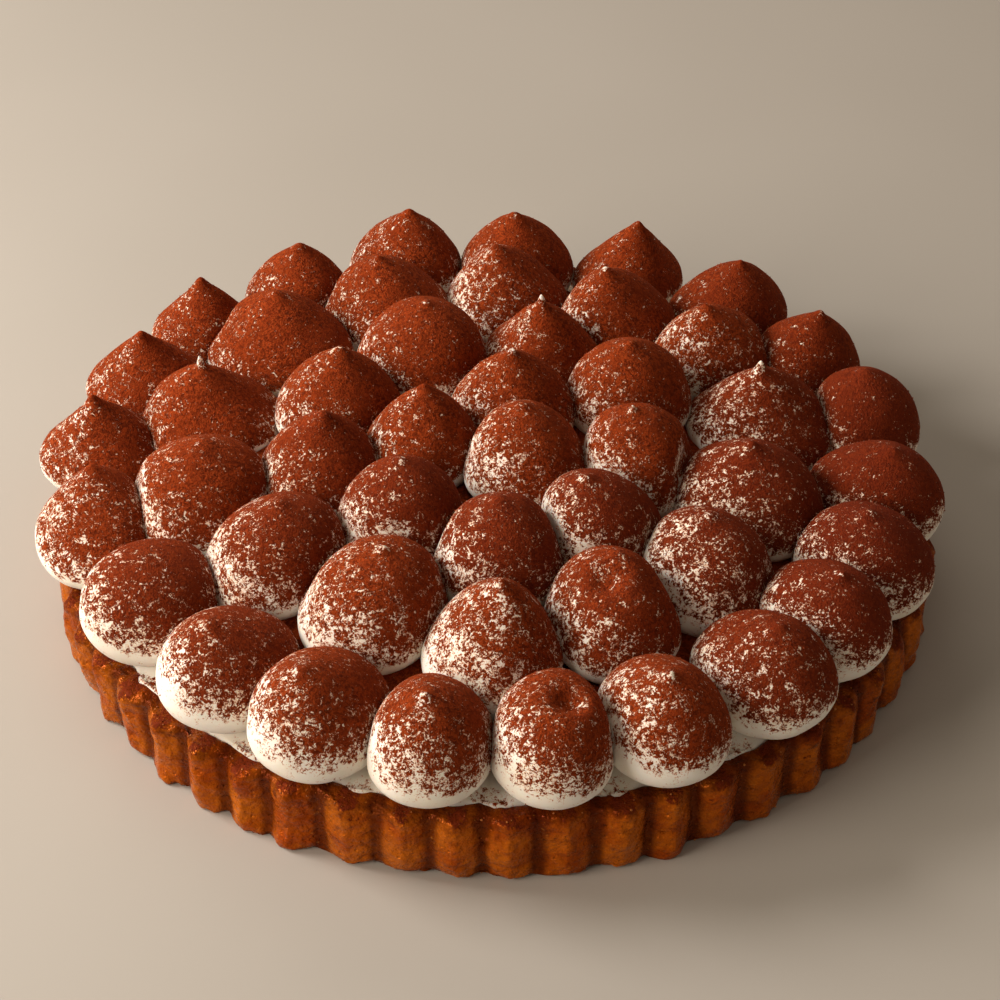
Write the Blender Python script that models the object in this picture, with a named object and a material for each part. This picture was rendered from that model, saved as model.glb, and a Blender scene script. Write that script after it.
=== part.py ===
"""A round, uncut tiramisu tart: a fluted shortcrust shell, a domed cream filling and 47 piped cream dollops.

The tart stands on its flat underside at z = 0, centred on the Z axis.  Everything is in metres.
The dollops stand in four uneven rings.  Where two of them meet, both are pressed flat against the upright
plane between them.
"""

import math
from typing import NamedTuple

import bmesh
import bpy
from mathutils import Vector

MM = 0.001

# ---- driving dimensions ----
CRUST_RADIUS = 124.5 * MM        # over the flutes' crests, at the shoulder of the rim
CRUST_FOOT_RADIUS = 123.6 * MM   # the same at the table
CRUST_HEIGHT = 21.5 * MM
CRUST_FLOOR = 5.0 * MM           # thickness of the shell's bottom
RIM_SHOULDER = 3.0 * MM          # how far the rim's outer rounding reaches down
RIM_ROUNDING = 1.6 * MM          # how far the rounding reaches in
RIM_WIDTH = 6.6 * MM
RIM_BEVEL = 0.9 * MM             # at the rim's inner edge
RIM_DROP = 1.1 * MM              # how far that bevel reaches down
FOOT_BEVEL = 0.9 * MM
FLUTES = 54
FLUTE_PHASE = math.radians(-91.4)    # bearing of one groove between two flutes
FLUTE_DEPTH_TOP = 4.0 * MM
FLUTE_DEPTH_FOOT = 2.6 * MM
FLUTE_DEPTH_RIM = 3.2 * MM       # on top of the rim
FLUTE_DEPTH_INSIDE = 1.0 * MM
FLUTE_SHARPNESS = 1.5            # 1 gives pleats with a sharp crest, 2 gives round lobes
WALL_DRAFT = 1.2 * MM            # the inside wall's taper towards the floor
RIM_UNEVENNESS = 0.35 * MM

GAP = 0.3 * MM                   # air between two pieces that touch
SHARP_EDGE = math.radians(55.0)
FILLING_EDGE_HEIGHT = 20.6 * MM
FILLING_RISE = 16.0 * MM         # how much higher the filling is at the centre than at its edge
FILLING_SEGMENTS = 36
FILLING_RINGS = 4

DOLLOP_HEIGHT = 28.8 * MM        # of one with a round top
POINTED_RISE = 1.2 * MM          # how much higher a fully pointed one ends
BELLY_HEIGHT = 0.42              # where a round dollop is widest, as a share of its height
BELLY_DROP = 0.12                # how much lower that is on a fully pointed one
CONE_SWELL = 0.87                # 1 would make the top of a fully pointed one a straight cone
FOOT_LATITUDE = math.radians(60.0)   # how far down a dollop's ball is whole before its foot
DOLLOP_SOFTNESS = 1.6 * MM       # rounding where a pressed side turns into a free one
DOLLOP_SEGMENTS = 16
DOLLOP_ROWS = 8
SHARPEST = 3                     # the largest number that the rings give for how drawn-up a tip is
MOST_REACH = 44.0 * MM           # dollops whose middles are farther apart than this never press
RIM_CLEARANCE = 0.5 * MM         # air between a dollop and the rim that it hangs over
RIM_APPROACH = 2.0 * MM          # how far inside the rim a dollop starts to keep that clearance
SIDE_GAP = 0.18 * MM             # what each of two pressed dollops keeps to the plane between them
LEAST_FACING = 0.05              # a side turned away more than this doesn't press
POLE_WIDTH = 0.01                # of a ball of radius 1: anything narrower is its pole


class Ring(NamedTuple):
    """One ring of dollops, in order round the tart from the +X side towards +Y."""
    letter: str
    bearings: tuple              # where each stands, degrees from +X
    distances: tuple             # from the tart's axis, mm
    widths: tuple                # how wide each would be along the ring if nothing pressed on it, mm
    depths: tuple                # likewise, towards the tart's middle
    points: tuple                # how drawn-up each tip is: 0 round, 3 a sharp peak
    rises: tuple                 # how much higher than others of its form each is, mm
    leans: tuple                 # from the middle of each one's foot to its tip, mm towards +X and +Y


class Dollop(NamedTuple):
    name: str
    middle: Vector               # in plan
    outward: Vector              # from the tart's axis, in plan
    radius: float                # across the ring, where nothing presses
    depth: float                 # likewise, towards the tart's middle
    height: float
    pointed: float               # 0 for a round top, 1 for a sharp peak
    lean: Vector                 # from the middle of its foot to its tip, in plan


RINGS = (
    Ring("a",
         (11, 29.5, 47.5, 67.5, 86, 105, 125, 141, 156.5, 173.5, 193,
          212, 230, 246, 261.5, 277.5, 293, 310, 323.5, 338.5, 353),
         (105.5, 103, 104, 107, 101, 108, 104, 111, 110, 111, 109.5,
          105, 104, 105.5, 107, 108, 107, 106, 104.5, 105.5, 104.5),
         (35, 33, 35, 34, 36, 35, 33, 32, 35, 35, 40, 35, 36, 36, 33, 32, 34, 36, 35, 37, 36),
         (38, 39, 41, 40, 42, 41, 39, 38, 41, 40, 38, 41, 41, 42, 39, 38, 40, 42, 41, 42, 41),
         (1, 2, 2, 3, 2, 2, 2, 3, 3, 3, 2, 0, 1, 1, 1, 0, 1, 1, 1, 1, 1),
         (0, 0, 0, -0.5, 0, 0, -0.5, -0.5, -0.5, -0.5, -0.5, -2, -1.5, 1, 2, 1.5, 1.5, -0.5, 0, 0, -0.5),
         ((2, 2), (5, -1), (4, 0), (4, 0), (-1, 1), (2, 1), (1, 1), (-1, 0), (-2, -1), (-2, -1), (-2, 6),
          (-3, 1), (-6, -3), (-5, -5), (-1, -5), (1, -1), (1, -5), (4, -3), (5, -3), (1, -2), (5, 0))),
    Ring("b",
         (13, 36, 60.5, 87, 114, 139.5, 165.5, 192, 217, 243.5, 269.5, 294, 318, 344.5),
         (79, 81, 74, 76, 79, 83, 85, 83, 72.5, 70.5, 79, 74, 75, 72),
         (39, 36, 34, 36, 38, 40, 39, 38, 36, 37, 34, 33, 36, 40),
         (47, 43, 41, 43, 46, 48, 46, 44, 43, 44, 41, 40, 43, 48),
         (3, 2, 2, 2, 2, 2, 3, 1, 1, 1, 2, 1, 1, 2),
         (0, 0, 0, 0, 0, 0, 0, 0, -1, -1.5, 2, 0, -1.5, 0),
         ((-2, -1), (-4, -2), (-4, -1), (-3, 0), (-2, -2), (0, 0), (-1, -1), (2, 1), (2, 0), (3, 2), (3, 3),
          (1, 3), (0, 3), (0, -1))),
    Ring("c",
         (29.5, 72, 117, 157.5, 192.5, 233, 272, 307.5, 345.5),
         (43.5, 46, 46, 48, 49, 42.5, 49, 48, 42.5),
         (35, 34, 37, 35, 34, 34, 35, 35, 34),
         (37, 36, 39, 37, 36, 36, 37, 37, 36),
         (1, 3, 1, 2, 2, 1, 1, 1, 1),
         (1, 0, 0, 0, 0, 0, 0, 0, 1),
         ((0, -2), (-1, -2), (1, 0), (1, 0), (1, 0), (1, 2), (0, 2), (-5, 0), (-4, 0))),
    Ring("d",
         (69.5, 187, 305.5),
         (16, 20, 15),
         (35, 33, 34),
         (35, 33, 34),
         (2, 2, 1),
         (0, 0, 0),
         ((-1, -1), (1, 0), (-1, 2))),
)


# ---- shared helpers ----
def smooth_minimum(first, second, softness):
    """The smaller of two lengths, eased where they are nearly equal, and never above either."""
    blend = max(softness - abs(first - second), 0.0) / softness
    return min(first, second) - blend * blend * softness * 0.25


def add_material(name, colour, roughness):
    material = bpy.data.materials.new(name)
    material.use_nodes = True
    shader = material.node_tree.nodes["Principled BSDF"]
    shader.inputs["Base Color"].default_value = (*colour, 1.0)
    shader.inputs["Roughness"].default_value = roughness
    shader.inputs["Metallic"].default_value = 0.0
    return material


def add_object(name, bm, material, parent, location=(0.0, 0.0, 0.0)):
    mesh = bpy.data.meshes.new(name)
    bm.to_mesh(mesh)
    bm.free()
    mesh.materials.append(material)
    mesh.shade_smooth()
    mesh.set_sharp_from_angle(angle=SHARP_EDGE)
    piece = bpy.data.objects.new(name, mesh)
    bpy.context.scene.collection.objects.link(piece)
    piece.parent = parent
    piece.location = location
    return piece


def add_ring(bm, count, point_at):
    """One closed ring of vertices, each where point_at puts it for its bearing."""
    bearings = [FLUTE_PHASE + math.tau * step / count for step in range(count)]
    return [bm.verts.new(point_at(bearing)) for bearing in bearings]


def skin_rings(bm, outer, inner):
    """Faces between two rings; the first may have twice as many vertices as the second."""
    count = len(inner)
    for step in range(count):
        after = (step + 1) % count
        if len(outer) == count:
            bm.faces.new((outer[step], outer[after], inner[after], inner[step]))
        else:
            first, middle = outer[2 * step], outer[2 * step + 1]
            last = outer[(2 * step + 2) % len(outer)]
            bm.faces.new((first, middle, inner[step]))
            bm.faces.new((middle, last, inner[after], inner[step]))


# ---- the shortcrust shell ----
def flute_dip(bearing):
    """How deep in its groove the wall is at a bearing: 0 on a flute's crest, 1 in a groove."""
    place = (bearing - FLUTE_PHASE) * FLUTES / math.tau
    from_crest = abs(2.0 * (place % 1.0) - 1.0)
    return from_crest ** FLUTE_SHARPNESS


def rim_wave(bearing):
    """The rim's unevenness, from -1 to 1, the same at a bearing every time."""
    waves = (math.sin(3 * bearing + 0.4), math.sin(7 * bearing + 2.1),
             math.sin(17 * bearing + 1.0), math.sin(29 * bearing + 4.2))
    return sum(waves) / len(waves)


def wall_point(radius, depth, height, unevenness=0.0):
    def point_at(bearing):
        out = radius - depth * flute_dip(bearing) + 0.5 * unevenness * rim_wave(bearing + 1.0)
        up = height + unevenness * rim_wave(bearing)
        return (out * math.cos(bearing), out * math.sin(bearing), up)
    return point_at


def build_crust(parent, material):
    fine = FLUTES * 4
    coarse = FLUTES * 2
    rim_inner_radius = CRUST_RADIUS - RIM_WIDTH
    wall_radius = rim_inner_radius - RIM_BEVEL
    bm = bmesh.new()
    rings = [
        add_ring(bm, fine, wall_point(CRUST_FOOT_RADIUS - FOOT_BEVEL, FLUTE_DEPTH_FOOT, 0.0)),
        add_ring(bm, fine, wall_point(CRUST_FOOT_RADIUS, FLUTE_DEPTH_FOOT, FOOT_BEVEL)),
        add_ring(bm, fine, wall_point(CRUST_RADIUS, FLUTE_DEPTH_TOP, CRUST_HEIGHT - RIM_SHOULDER,
                                      RIM_UNEVENNESS)),
        add_ring(bm, fine, wall_point(CRUST_RADIUS - RIM_ROUNDING, FLUTE_DEPTH_RIM,
                                      CRUST_HEIGHT, RIM_UNEVENNESS)),
        add_ring(bm, coarse, wall_point(rim_inner_radius, FLUTE_DEPTH_INSIDE, CRUST_HEIGHT,
                                        RIM_UNEVENNESS)),
        add_ring(bm, coarse, wall_point(wall_radius, FLUTE_DEPTH_INSIDE, CRUST_HEIGHT - RIM_DROP)),
        add_ring(bm, coarse, wall_point(wall_radius - WALL_DRAFT, FLUTE_DEPTH_INSIDE, CRUST_FLOOR)),
    ]
    for lower, upper in zip(rings, rings[1:]):
        skin_rings(bm, lower, upper)
    bm.faces.new(rings[-1])
    bm.faces.new(list(reversed(rings[0])))
    bmesh.ops.triangulate(bm, faces=bm.faces[:])
    bmesh.ops.recalc_face_normals(bm, faces=bm.faces[:])
    return add_object("crust", bm, material, parent)


# ---- the filling ----
def filling_radius():
    """The filling's radius at its top edge, clear of the deepest groove of the inside wall."""
    return CRUST_RADIUS - RIM_WIDTH - RIM_BEVEL - FLUTE_DEPTH_INSIDE - GAP


def filling_height(distance):
    """Height of the filling's domed top at a distance from the tart's axis."""
    share = distance / filling_radius()
    return FILLING_EDGE_HEIGHT + FILLING_RISE * (1.0 - share * share)


def build_filling(parent, material):
    top_radius = filling_radius()
    floor_radius = top_radius - WALL_DRAFT
    bm = bmesh.new()

    def level_point(radius, height):
        return lambda bearing: (radius * math.cos(bearing), radius * math.sin(bearing), height)

    rings = [add_ring(bm, FILLING_SEGMENTS, level_point(floor_radius, CRUST_FLOOR + GAP))]
    for step in range(FILLING_RINGS):
        radius = top_radius * (1.0 - step / FILLING_RINGS)
        rings.append(add_ring(bm, FILLING_SEGMENTS, level_point(radius, filling_height(radius))))
    for lower, upper in zip(rings, rings[1:]):
        skin_rings(bm, lower, upper)
    summit = bm.verts.new((0.0, 0.0, filling_height(0.0)))
    last = rings[-1]
    for step in range(FILLING_SEGMENTS):
        bm.faces.new((last[step], last[(step + 1) % FILLING_SEGMENTS], summit))
    bm.faces.new(list(reversed(rings[0])))
    bmesh.ops.triangulate(bm, faces=bm.faces[:])
    bmesh.ops.recalc_face_normals(bm, faces=bm.faces[:])
    return add_object("filling", bm, material, parent)


# ---- the piped dollops ----
def support_height(x, y):
    """Height of whatever lies under a point: the domed filling, or the rim of the crust."""
    distance = math.hypot(x, y)
    height = filling_height(distance) + GAP
    if distance > filling_radius() - RIM_APPROACH:
        height = max(height, CRUST_HEIGHT + RIM_UNEVENNESS + RIM_CLEARANCE)
    return height


def lay_out_dollops():
    dollops = []
    for ring in RINGS:
        for number, (degrees, distance, width, depth, point, rise, lean) in enumerate(zip(*ring[1:]), start=1):
            bearing = math.radians(degrees)
            outward = Vector((math.cos(bearing), math.sin(bearing)))
            pointed = point / SHARPEST
            dollops.append(Dollop(
                name=f"dollop_{ring.letter}{number:02d}",
                middle=outward * distance * MM,
                outward=outward,
                radius=width * MM / 2.0,
                depth=depth * MM / 2.0,
                height=DOLLOP_HEIGHT + POINTED_RISE * pointed + rise * MM,
                pointed=pointed,
                lean=Vector(lean) * MM,
            ))
    return dollops


def free_reach(dollop, direction):
    """How far an unpressed dollop reaches from its middle in a direction: its plan is an ellipse."""
    along = direction.dot(dollop.outward) / dollop.depth
    across = direction.cross(dollop.outward) / dollop.radius
    return 1.0 / math.hypot(along, across)


def pressed_sides(dollop, dollops):
    """The upright planes that press on a dollop, each as a direction and a distance from its middle."""
    sides = []
    for other in dollops:
        between = other.middle - dollop.middle
        distance = between.length
        if other is dollop or distance > MOST_REACH:
            continue
        normal = between / distance
        own, others = free_reach(dollop, normal), free_reach(other, normal)
        share = (distance ** 2 + own ** 2 - others ** 2) / (2.0 * distance)
        sides.append((normal, share - SIDE_GAP))
    return sides


def dollop_profile(latitude, pointed):
    """A dollop's radius and height, as shares of its own, at a latitude of the ball it is shaped from."""
    belly = BELLY_HEIGHT - BELLY_DROP * pointed
    if latitude < 0.0:
        lowest_row = math.pi / 2.0 - math.pi / DOLLOP_ROWS
        latitude = max(latitude * FOOT_LATITUDE / lowest_row, -FOOT_LATITUDE)
        return math.cos(latitude), belly * (1.0 + math.sin(latitude) / math.sin(FOOT_LATITUDE))
    reach = math.cos(latitude)
    rise = (1.0 - pointed) * math.sin(latitude) + pointed * (1.0 - reach) ** CONE_SWELL
    return reach, belly + (1.0 - belly) * rise


def build_dollop(dollop, dollops, parent, material):
    middle = dollop.middle
    base = support_height(*middle)
    sides = pressed_sides(dollop, dollops)

    bm = bmesh.new()
    bmesh.ops.create_uvsphere(bm, u_segments=DOLLOP_SEGMENTS, v_segments=DOLLOP_ROWS, radius=1.0)
    for vertex in bm.verts:
        latitude = math.asin(max(-1.0, min(1.0, vertex.co.z)))
        reach_share, rise = dollop_profile(latitude, dollop.pointed)
        shift = dollop.lean * rise ** 2
        spot = middle + shift
        direction = Vector((vertex.co.x, vertex.co.y))
        if direction.length > POLE_WIDTH:
            direction.normalize()
            reach = free_reach(dollop, direction) * reach_share
            for normal, distance in sides:
                facing = direction.dot(normal)
                if facing > LEAST_FACING:
                    room = (distance - shift.dot(normal)) / facing
                    reach = smooth_minimum(reach, room, DOLLOP_SOFTNESS)
            spot = spot + direction * reach
        ground = support_height(*spot)
        height = base + rise * dollop.height + (ground - base) * (1.0 - rise) ** 2
        vertex.co = (spot.x - middle.x, spot.y - middle.y, max(height, ground) - base)
    bmesh.ops.triangulate(bm, faces=bm.faces[:])
    bmesh.ops.recalc_face_normals(bm, faces=bm.faces[:])
    return add_object(dollop.name, bm, material, parent, (middle.x, middle.y, base))


def build_tart():
    for leftover in list(bpy.data.objects):
        bpy.data.objects.remove(leftover)
    tart = bpy.data.objects.new("tiramisu_tart", None)
    bpy.context.scene.collection.objects.link(tart)
    baked = add_material("baked_shortcrust", (0.42, 0.16, 0.035), 0.42)
    cream = add_material("cream_filling", (0.80, 0.71, 0.55), 0.5)
    dusted = add_material("dusted_cream", (0.33, 0.13, 0.06), 0.85)
    build_crust(tart, baked)
    build_filling(tart, cream)
    dollops = lay_out_dollops()
    for dollop in dollops:
        build_dollop(dollop, dollops, tart, dusted)


build_tart()
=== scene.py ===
"""The looks of the tiramisu tart: baked shortcrust, cream, piped dollops and the cocoa sifted over them.

Everything is in metres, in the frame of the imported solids: the tart stands on z = 0, centred on the Z axis.
The crust, the filling and the dollops are all made the same way, as a grid of points whose first and last
rows are one point each.  The rows run from the top's middle outwards and down to the underside's middle,
and each row's columns run round the piece.
"""

import itertools
import math

import bpy
import numpy as np
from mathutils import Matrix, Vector
from mathutils.bvhtree import BVHTree


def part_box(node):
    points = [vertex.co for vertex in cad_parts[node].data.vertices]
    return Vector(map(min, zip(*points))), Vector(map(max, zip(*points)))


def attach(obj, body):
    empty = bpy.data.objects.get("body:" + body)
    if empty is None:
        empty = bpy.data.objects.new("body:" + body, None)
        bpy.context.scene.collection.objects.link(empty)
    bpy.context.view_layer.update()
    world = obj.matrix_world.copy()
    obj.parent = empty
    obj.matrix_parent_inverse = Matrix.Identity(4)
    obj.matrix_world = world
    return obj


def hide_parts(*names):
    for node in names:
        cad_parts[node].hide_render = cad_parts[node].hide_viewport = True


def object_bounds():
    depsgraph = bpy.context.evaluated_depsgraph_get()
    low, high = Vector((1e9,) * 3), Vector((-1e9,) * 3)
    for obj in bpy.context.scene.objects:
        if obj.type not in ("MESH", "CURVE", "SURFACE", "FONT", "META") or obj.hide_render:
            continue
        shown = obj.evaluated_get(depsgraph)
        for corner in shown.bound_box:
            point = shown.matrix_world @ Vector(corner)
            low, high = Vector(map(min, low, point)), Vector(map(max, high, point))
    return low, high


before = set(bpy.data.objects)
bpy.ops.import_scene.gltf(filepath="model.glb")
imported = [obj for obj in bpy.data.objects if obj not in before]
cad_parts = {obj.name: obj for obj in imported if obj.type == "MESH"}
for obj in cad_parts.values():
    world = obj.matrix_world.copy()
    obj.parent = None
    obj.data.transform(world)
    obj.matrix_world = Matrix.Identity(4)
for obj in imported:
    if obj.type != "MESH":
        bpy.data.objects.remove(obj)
cad_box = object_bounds()

MM = 0.001

# ---- the crust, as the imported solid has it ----
FLUTES = 54
FLUTE_PHASE = math.radians(-91.4)    # bearing of one groove between two flutes
CRUST_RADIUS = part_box("crust")[1].x  # over the flutes' crests
CRUST_HEIGHT = 21.5 * MM
CRUST_FLOOR = 5.0 * MM
FOOT_INSET = 0.9 * MM                # how much narrower the crust is at the table
FLUTE_DEPTH_TOP = 4.0 * MM
FLUTE_DEPTH_FOOT = 2.6 * MM
FLUTE_DEPTH_RIM = 3.2 * MM
FLUTE_DEPTH_INSIDE = 1.0 * MM
RIM_WIDTH = 6.6 * MM
RIM_BEVEL = 0.9 * MM
RIM_DROP = 1.1 * MM
WALL_DRAFT = 1.2 * MM
RIM_UNEVENNESS = 0.35 * MM
RIM_WAVES = ((3, 0.4), (7, 2.1), (17, 1.0), (29, 4.2))    # how many waves round the tart, and their phase
FLOOR_MIDDLE = 60.0 * MM             # out to here the crust's floor is one flat fan

# ---- the crust's finer form ----
COLUMNS_PER_FLUTE = 20
RIM_SHARPNESS = 1.2                  # 1 gives pleats with a sharp crest, 2 gives round lobes
FOOT_SHARPNESS = 1.8
GROOVE_SOFTNESS = 0.30               # of half a flute: how round a groove's bottom is
FLUTE_STRAY = 0.05                   # how far a flute may stand off its place, in flutes
STRAY_WAVES = ((5, 0.7), (13, 2.9))  # like RIM_WAVES
FLUTE_VARIATION = 0.16               # how much shallower or deeper than the others a groove may be
VARIATION_WAVES = ((11, 1.3), (4, 0.0))
SWELL_SIZE = 11.0 * MM
SWELL_HEIGHT = 1.15 * MM
CRUMB_SIZE = 5.5 * MM
CRUMB_HEIGHT = 0.70 * MM
GRIT_SIZE = 1.9 * MM
GRIT_HEIGHT = 0.17 * MM
PIT_SIZE = 3.0 * MM
PIT_DEPTH = 0.60 * MM
PITS_IN = (0.45, 0.85)               # where in their noise the pits start and are full
FOOT_RAGGED = 0.60 * MM
FOOT_RAGGED_SIZE = 2.2 * MM
FOOT_BAND = 3.0 * MM                 # how far up from the table the ragged foot reaches
EDGE_REACH_IN = 1.7 * MM             # the rounding of the rim's outer edge
EDGE_REACH_DOWN = 2.2 * MM
INNER_EDGE_ROWS = 5
RIM_ROWS = 9
OUTER_EDGE_ROWS = 9
WALL_ROWS = 33
# How much of the relief shows inside, below the rim and at its inner edge
RELIEF_INSIDE = 0.4
RELIEF_INNER_EDGE = 0.8
# The same over the underside: how far in from the foot, and how much
RELIEF_BELOW = ((1.0 * MM, 0.6), (3.0 * MM, 0.3), (8.0 * MM, 0.3), (30.0 * MM, 0.3), (70.0 * MM, 0.3))

# ---- the filling ----
FILLING_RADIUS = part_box("filling")[1].x
FILLING_EDGE_HEIGHT = 20.6 * MM
FILLING_RISE = 16.0 * MM             # how much higher the filling is at the centre than at its edge
FILLING_COLUMNS = 540
FILLING_FINE_FROM = 84.0 * MM        # from here outwards its rows stand closer
FILLING_ROWS = (43, 37)              # inside that and outside it
FILLING_SIDE_DOWN = 3.0 * MM         # how far below the rim the plain side starts
FILLING_OFF_WALL = 0.1 * MM
FILLING_OFF_FLOOR = 0.3 * MM
SMEAR_SIZE = 6.0 * MM
SMEAR_HEIGHT = 0.35 * MM
INNER_TO = 96.0 * MM                 # the inner rings' part of the filling ends between these two
OUTER_FROM = 104.0 * MM
LIP_REACH = 14.6 * MM                # how far the cream spreads round a dollop's foot
LIP_STEEPNESS = 6                    # 2 would make each lip a dome, more makes it flat with a steep edge
LIP_RAGGED = 1.3 * MM
LIP_RAGGED_SIZE = 7.0 * MM
LIP_HEIGHT = 2.3 * MM
LIP_EDGE = 1.2 * MM                  # the rounding of the lip's edge
LIP_OVER_RIM = 2.2 * MM              # how far the cream may lap over the rim between two dollops
LIP_ONTO_RIM = (-0.5 * MM, 0.4 * MM) # where it comes onto the rim, outwards from the shell's inner wall
LIP_ON_RIM = 0.1 * MM                # how high over the rim it starts there
LIP_FULLNESS = 0.65                  # how much of that a gap gets on average
# How far round the tart that swings: by how much, over what length, and the noise's seed
LIP_FULLNESS_SWINGS = ((0.35, 21.0 * MM, 57), (0.25, 4.0 * MM, 58))
GAP_FROM = 12.5 * MM                 # how far from the nearest foot a gap between two dollops starts
GAP_TO = 16.5 * MM
GAP_RISE = 1.6 * MM                  # how much higher the cream stands there
GAP_RISE_OVER = (106.0 * MM, 113.0 * MM)    # starts and is full at these distances from the tart's axis
HEAP_FROM = 13.5 * MM                # the same for the heaps between the inner rings' dollops
HEAP_TO = 17.0 * MM
HEAP_RISE = 5.0 * MM
RIM_CLEARANCE = 0.3 * MM             # how far over the rim the outer dollops stay

# ---- the dollops ----
DOLLOP_COLUMNS = 96
DOLLOP_ROWS = 52
ROW_CROWDING = 1.5                   # over 1 draws the rows together towards the tip
HEART_HEIGHT = 0.42                  # where a dollop's heart is, as a share of its height
FACET_BLUR = math.radians(8.0)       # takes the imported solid's facets away
TIP_BLUR = math.radians(3.0)         # the same at a sharp tip
TIP_REACH = math.radians(40.0)
SHOULDER_ANGLE = math.radians(20.0)  # a tip is sharp if it stands far over the surface at this angle
SHARP_SLOPES = (0.2, 0.6)            # blunt up to the first slope from there to the tip, sharp at the second
LUMP_SIZE = 9.0 * MM
LUMP_HEIGHT = 0.34 * MM
RIPPLE_SIZE = 3.4 * MM
RIPPLE_HEIGHT = 0.09 * MM
NIB_HEIGHT = (0.2 * MM, 0.8 * MM)
NIB_WIDTH = (1.4 * MM, 2.2 * MM)
NIB_BEND = 0.6 * MM
NIB_BEND_REACH = 2.0                 # how far down it bends, in its widths
NIB_TAPER = 1.5                      # 2 would round it like a bell, 1 makes it a spike
NIB_SUNK = 0.6                       # how much of its height the top sinks to make room for its nib
SHOULDER_WIDTH = 4.0 * MM            # how far round the nib it sinks

# ---- the sifted cocoa ----
DUST_FROM = Vector((0.67, 0.22, 0.71))
UPWARDS = Vector((0.0, 0.0, 1.0))
DUST_SPREAD = 0.30                   # how far the grains' paths stray from that direction
DUST_PATHS = 5
DUST_LIFT = 0.25 * MM                # the paths are looked at from this far over a surface
DUST_REACH = 60.0 * MM               # and for this long
DUST_HIDDEN = -0.3                   # a surface that faces their source less than this is closed to them
DUST_SHELTER = 0.15                  # how much of the cocoa closed paths keep off
DUST_FALLOFF = 0.62                  # how much more a surface has to face the sieve for a good cover
DUST_CURVE = 1.4                     # how suddenly the cover starts
DUST_HANG = (-0.16, 0.39)            # how far up a surface has to turn to get any cocoa, and to keep it all
DUST_DRIFT = 0.22                    # unevenness of the cover, in wide patches
DUST_DRIFT_SIZE = 8.0 * MM
DUST_MOST = 0.985                    # the thickest cover
FIELD_DEVIATION = 0.058              # of the noise that the grains fill
MOST_DEVIATION = 3.2                 # a cover is kept as how far grains fill the noise, in its deviations
NORMAL_SLOPE = 0.6                   # the logarithm of a share's odds, times this, is about its deviation
CRUST_FACING = -0.9                  # as BARE_FACING below, for the crust and for the filling
FILLING_FACING = -0.5
FILLING_HEAPED_AND_SHADED = -0.9                # added where the cocoa has heaped up in a gap, and on the right, where the thicker cocoa is painted shade
# Over these distances to the right of the axis the filling's cocoa thickens, as painted shade
HEAPED_AND_SHADED_RIGHT = (-20.0 * MM, 60.0 * MM)
INNER_COVER = 0.995                  # the inner filling lies under cocoa all over
CAP_FROM = 0.25                      # on the rim, cocoa lies on the flutes' crests, and ends between
CAP_TO = 0.55                        # these shares of the way into a groove
CAP_STRAY = 0.15
CAP_STRAY_SIZE = 5.0 * MM
CAP_LEAST_HEIGHT = 12.0 * MM
CAP_UPTURNED = (0.25, 0.75)
CAP_SHELTERED = 0.6                  # how much of it stays where a dollop hangs over it

# ---- loose bits ----
GRAINS = 5200
GRAIN_RADII = (0.10, 0.26)           # in millimetres
GRAINS_ANYWHERE = 0.03               # the chance of a grain where there is no cocoa, against loose_chance
CRUMBS = 500
CRUMB_RADII = (0.12, 0.38)
CRUMBS_ON_RIM = (0.93, 1.0)          # from and to these shares of the wall's height
CRUMBS_AT_FOOT = (0.93, 0.99)        # the same, measured downwards
BIT_RAISED = 0.35                    # how far a bit's middle is over what it lies on, in its radii
BIT_STRETCH = (0.6, 1.3)
BIT_UNEVENNESS = (0.8, 1.2)
SEED = 20

# ---- the dollops one by one ----
# How much a dollop has to face the sieve before any cocoa stays on it: more leaves more of it white
BARE_FACING = -1.03                  # for one on the tart's axis
BARE_SLOPE = -6.0                    # added for each metre towards the back
BARE_LEAST = -1.55
BARE_EXTRAS = {
    "dollop_a01": -0.7, "dollop_a06": 0.5, "dollop_a08": -0.75, "dollop_a09": -0.15, "dollop_a11": 0.12,
    "dollop_a14": -0.20, "dollop_a15": -0.28, "dollop_a16": -0.32, "dollop_a17": -0.25, "dollop_a18": -0.25,
    "dollop_a19": -0.28, "dollop_a20": -0.15, "dollop_a21": -0.4,
    "dollop_b01": 0.5, "dollop_b02": 0.6, "dollop_b03": 0.4, "dollop_b04": 0.65, "dollop_b05": 0.05,
    "dollop_b06": -0.4, "dollop_b07": -0.4, "dollop_b09": 0.08, "dollop_b11": 0.05, "dollop_b12": -0.25,
    "dollop_b13": 0.3, "dollop_b14": 0.15,
    "dollop_c02": 0.1, "dollop_c05": -0.3, "dollop_c06": -0.1, "dollop_c07": -0.15, "dollop_c08": 0.05,
    "dollop_d02": -0.25, "dollop_d03": 0.1,
}
# Dollops whose cocoa is darker and redder than the others', and how much
MAROON = {
    "dollop_a01": 0.55, "dollop_a02": 0.35, "dollop_a03": 0.3, "dollop_a12": 0.3, "dollop_a13": 0.25,
    "dollop_a18": 0.45, "dollop_a19": 0.6, "dollop_a20": 0.7, "dollop_a21": 0.6, "dollop_b01": 0.4,
    "dollop_b09": 0.3, "dollop_b12": 0.2, "dollop_b13": 0.55, "dollop_b14": 0.55, "dollop_c05": 0.2,
    "dollop_c06": 0.4, "dollop_c07": 0.45, "dollop_c08": 0.5,
}
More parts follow.
